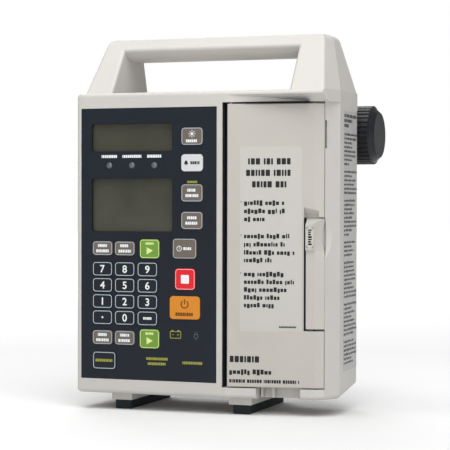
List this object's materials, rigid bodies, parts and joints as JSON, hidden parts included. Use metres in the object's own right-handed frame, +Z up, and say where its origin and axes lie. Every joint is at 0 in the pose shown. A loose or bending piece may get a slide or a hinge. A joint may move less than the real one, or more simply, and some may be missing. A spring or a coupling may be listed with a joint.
{
  "type": "infusion pump",
  "caption": "Bench and pole mounted volumetric infusion pump with keypad, two displays, hinged tube door, carrying handle and a pole clamp at the back.",
  "frame": {"origin": "middle of the bounding box at the underside of the rubber feet", "axes": "+X to the right seen from the keypad side, +Y from the keypad to the back, +Z up"},
  "size_m": [0.21, 0.1252, 0.2818],
  "materials": {
    "case_plastic": "fine texture, satin",
    "door_plastic": "fine texture, satin",
    "latch_plastic": "fine texture, satin",
    "liner_plastic": "matt",
    "panel_film": "printed film, satin",
    "key_dark": "printed film, satin",
    "key_grey": "printed film, satin",
    "key_white": "printed film, satin",
    "key_red": "printed film, satin",
    "key_orange": "printed film, satin",
    "key_green": "printed film, satin",
    "lcd_glass": "reflective display",
    "lamp_lens": "clear lens",
    "circuit_board": "lacquered",
    "foot_rubber": "matt",
    "knob_plastic": "semi-gloss",
    "black_plastic": "matt",
    "clamp_cast": "cast, satin",
    "chassis_metal": "satin",
    "motor_black": "satin",
    "finger_plastic": "acetal, matt",
    "steel": "brushed",
    "brass": "turned"
  },
  "bodies": {
    "case": {"front_case": "case_plastic", "rear_case": "case_plastic", "case_screws": "steel", "rubber_feet": "foot_rubber", "keypad_panel": "panel_film", "status_lamps": "lamp_lens", "keypad_board": "circuit_board", "lcd_upper": "lcd_glass", "lcd_lower": "lcd_glass", "main_board": "circuit_board", "power_supply": "steel", "battery_pack": "black_plastic", "mains_inlet": "black_plastic", "hinge_pins": "steel", "latch_strike": "steel", "pump_head_plate": "steel", "tube_sensor": "black_plastic", "pump_chassis": "chassis_metal", "shaft_bearings": "steel", "drive_motor": "motor_black", "clamp_body": "clamp_cast"},
    "door": {"door_panel": "door_plastic", "door_liner": "liner_plastic", "platen_springs": "steel", "latch_pin": "steel"},
    "platen": {"door_platen": "steel"},
    "latch": {"latch_lever": "latch_plastic"},
    "camshaft": {"camshaft": "steel", "cam_gear": "finger_plastic"},
    "motor_rotor": {"motor_pinion": "brass"},
    "fingers": {"pump_fingers": "finger_plastic"},
    "clamp_slide": {"clamp_pad": "black_plastic"},
    "clamp_handle": {"clamp_screw": "steel", "clamp_knob": "knob_plastic"},
    "key_backlight": {"key_backlight": "key_grey"},
    "key_silence": {"key_silence": "key_white"},
    "key_status": {"key_status": "key_grey"},
    "key_clear_total": {"key_clear_total": "key_grey"},
    "key_time": {"key_time": "key_grey"},
    "key_stop": {"key_stop": "key_red"},
    "key_on_off": {"key_on_off": "key_orange"},
    "key_primary_rate": {"key_primary_rate": "key_grey"},
    "key_primary_volume": {"key_primary_volume": "key_grey"},
    "key_primary_start": {"key_primary_start": "key_green"},
    "key_secondary_rate": {"key_secondary_rate": "key_grey"},
    "key_secondary_volume": {"key_secondary_volume": "key_grey"},
    "key_secondary_start": {"key_secondary_start": "key_green"},
    "key_options": {"key_options": "key_dark"},
    "key_7": {"key_7": "key_dark"},
    "key_8": {"key_8": "key_dark"},
    "key_9": {"key_9": "key_dark"},
    "key_4": {"key_4": "key_dark"},
    "key_5": {"key_5": "key_dark"},
    "key_6": {"key_6": "key_dark"},
    "key_1": {"key_1": "key_dark"},
    "key_2": {"key_2": "key_dark"},
    "key_3": {"key_3": "key_dark"},
    "key_point": {"key_point": "key_dark"},
    "key_0": {"key_0": "key_dark"},
    "key_clear": {"key_clear": "key_dark"}
  },
  "joints": [
    {"name": "door_hinge", "type": "hinge", "parent": "case", "child": "door", "pos_m": [0.0175, -0.0575, 0.125], "axis": [0, 0, -1], "range_deg": [0, 110]},
    {"name": "platen_press", "type": "slide", "parent": "door", "child": "platen", "axis": [0, -1, 0], "range_m": [0, 0.0012], "stiffness_N_per_m": 1500, "deforming": ["platen_springs"]},
    {"name": "latch_pull", "type": "hinge", "parent": "door", "child": "latch", "pos_m": [0.077, -0.0487, 0.0676], "axis": [1, 0, 0], "range_deg": [0, 30], "stiffness_Nm_per_rad": 0.3},
    {"name": "cam_turn", "type": "hinge", "parent": "case", "child": "camshaft", "pos_m": [0.044, -0.025, 0.13], "axis": [0, 0, 1], "continuous": true},
    {"name": "motor_turn", "type": "hinge", "parent": "case", "child": "motor_rotor", "pos_m": [0.0665, -0.025, 0.186], "axis": [0, 0, 1], "continuous": true},
    {"name": "finger_stroke", "type": "slide", "parent": "case", "child": "fingers", "axis": [0, -1, 0], "range_m": [-0.0012, 0.0012], "stiffness_N_per_m": 400},
    {"name": "clamp_travel", "type": "slide", "parent": "case", "child": "clamp_slide", "axis": [1, 0, 0], "range_m": [-0.0201, 0.0001]},
    {"name": "clamp_knob_turn", "type": "hinge", "parent": "clamp_slide", "child": "clamp_handle", "pos_m": [0.055, 0.04, 0.2087], "axis": [1, 0, 0], "range_deg": [-2400, 0]},
    {"name": "press_backlight", "type": "slide", "parent": "case", "child": "key_backlight", "axis": [0, 1, 0], "range_m": [0, 0.0004], "stiffness_N_per_m": 800},
    {"name": "press_silence", "type": "slide", "parent": "case", "child": "key_silence", "axis": [0, 1, 0], "range_m": [0, 0.0004], "stiffness_N_per_m": 800},
    {"name": "press_status", "type": "slide", "parent": "case", "child": "key_status", "axis": [0, 1, 0], "range_m": [0, 0.0004], "stiffness_N_per_m": 800},
    {"name": "press_clear_total", "type": "slide", "parent": "case", "child": "key_clear_total", "axis": [0, 1, 0], "range_m": [0, 0.0004], "stiffness_N_per_m": 800},
    {"name": "press_time", "type": "slide", "parent": "case", "child": "key_time", "axis": [0, 1, 0], "range_m": [0, 0.0004], "stiffness_N_per_m": 800},
    {"name": "press_stop", "type": "slide", "parent": "case", "child": "key_stop", "axis": [0, 1, 0], "range_m": [0, 0.0004], "stiffness_N_per_m": 800},
    {"name": "press_on_off", "type": "slide", "parent": "case", "child": "key_on_off", "axis": [0, 1, 0], "range_m": [0, 0.0004], "stiffness_N_per_m": 800},
    {"name": "press_primary_rate", "type": "slide", "parent": "case", "child": "key_primary_rate", "axis": [0, 1, 0], "range_m": [0, 0.0004], "stiffness_N_per_m": 800},
    {"name": "press_primary_volume", "type": "slide", "parent": "case", "child": "key_primary_volume", "axis": [0, 1, 0], "range_m": [0, 0.0004], "stiffness_N_per_m": 800},
    {"name": "press_primary_start", "type": "slide", "parent": "case", "child": "key_primary_start", "axis": [0, 1, 0], "range_m": [0, 0.0004], "stiffness_N_per_m": 800},
    {"name": "press_secondary_rate", "type": "slide", "parent": "case", "child": "key_secondary_rate", "axis": [0, 1, 0], "range_m": [0, 0.0004], "stiffness_N_per_m": 800},
    {"name": "press_secondary_volume", "type": "slide", "parent": "case", "child": "key_secondary_volume", "axis": [0, 1, 0], "range_m": [0, 0.0004], "stiffness_N_per_m": 800},
    {"name": "press_secondary_start", "type": "slide", "parent": "case", "child": "key_secondary_start", "axis": [0, 1, 0], "range_m": [0, 0.0004], "stiffness_N_per_m": 800},
    {"name": "press_options", "type": "slide", "parent": "case", "child": "key_options", "axis": [0, 1, 0], "range_m": [0, 0.0004], "stiffness_N_per_m": 800},
    {"name": "press_7", "type": "slide", "parent": "case", "child": "key_7", "axis": [0, 1, 0], "range_m": [0, 0.0004], "stiffness_N_per_m": 800},
    {"name": "press_8", "type": "slide", "parent": "case", "child": "key_8", "axis": [0, 1, 0], "range_m": [0, 0.0004], "stiffness_N_per_m": 800},
    {"name": "press_9", "type": "slide", "parent": "case", "child": "key_9", "axis": [0, 1, 0], "range_m": [0, 0.0004], "stiffness_N_per_m": 800},
    {"name": "press_4", "type": "slide", "parent": "case", "child": "key_4", "axis": [0, 1, 0], "range_m": [0, 0.0004], "stiffness_N_per_m": 800},
    {"name": "press_5", "type": "slide", "parent": "case", "child": "key_5", "axis": [0, 1, 0], "range_m": [0, 0.0004], "stiffness_N_per_m": 800},
    {"name": "press_6", "type": "slide", "parent": "case", "child": "key_6", "axis": [0, 1, 0], "range_m": [0, 0.0004], "stiffness_N_per_m": 800},
    {"name": "press_1", "type": "slide", "parent": "case", "child": "key_1", "axis": [0, 1, 0], "range_m": [0, 0.0004], "stiffness_N_per_m": 800},
    {"name": "press_2", "type": "slide", "parent": "case", "child": "key_2", "axis": [0, 1, 0], "range_m": [0, 0.0004], "stiffness_N_per_m": 800},
    {"name": "press_3", "type": "slide", "parent": "case", "child": "key_3", "axis": [0, 1, 0], "range_m": [0, 0.0004], "stiffness_N_per_m": 800},
    {"name": "press_point", "type": "slide", "parent": "case", "child": "key_point", "axis": [0, 1, 0], "range_m": [0, 0.0004], "stiffness_N_per_m": 800},
    {"name": "press_0", "type": "slide", "parent": "case", "child": "key_0", "axis": [0, 1, 0], "range_m": [0, 0.0004], "stiffness_N_per_m": 800},
    {"name": "press_clear", "type": "slide", "parent": "case", "child": "key_clear", "axis": [0, 1, 0], "range_m": [0, 0.0004], "stiffness_N_per_m": 800}
  ],
  "couplings": [
    {"joint": "motor_turn", "follows": "cam_turn", "ratio": -2},
    {"joint": "clamp_travel", "follows": "clamp_knob_turn", "m_per_rad": 0.00047746}
  ]
}
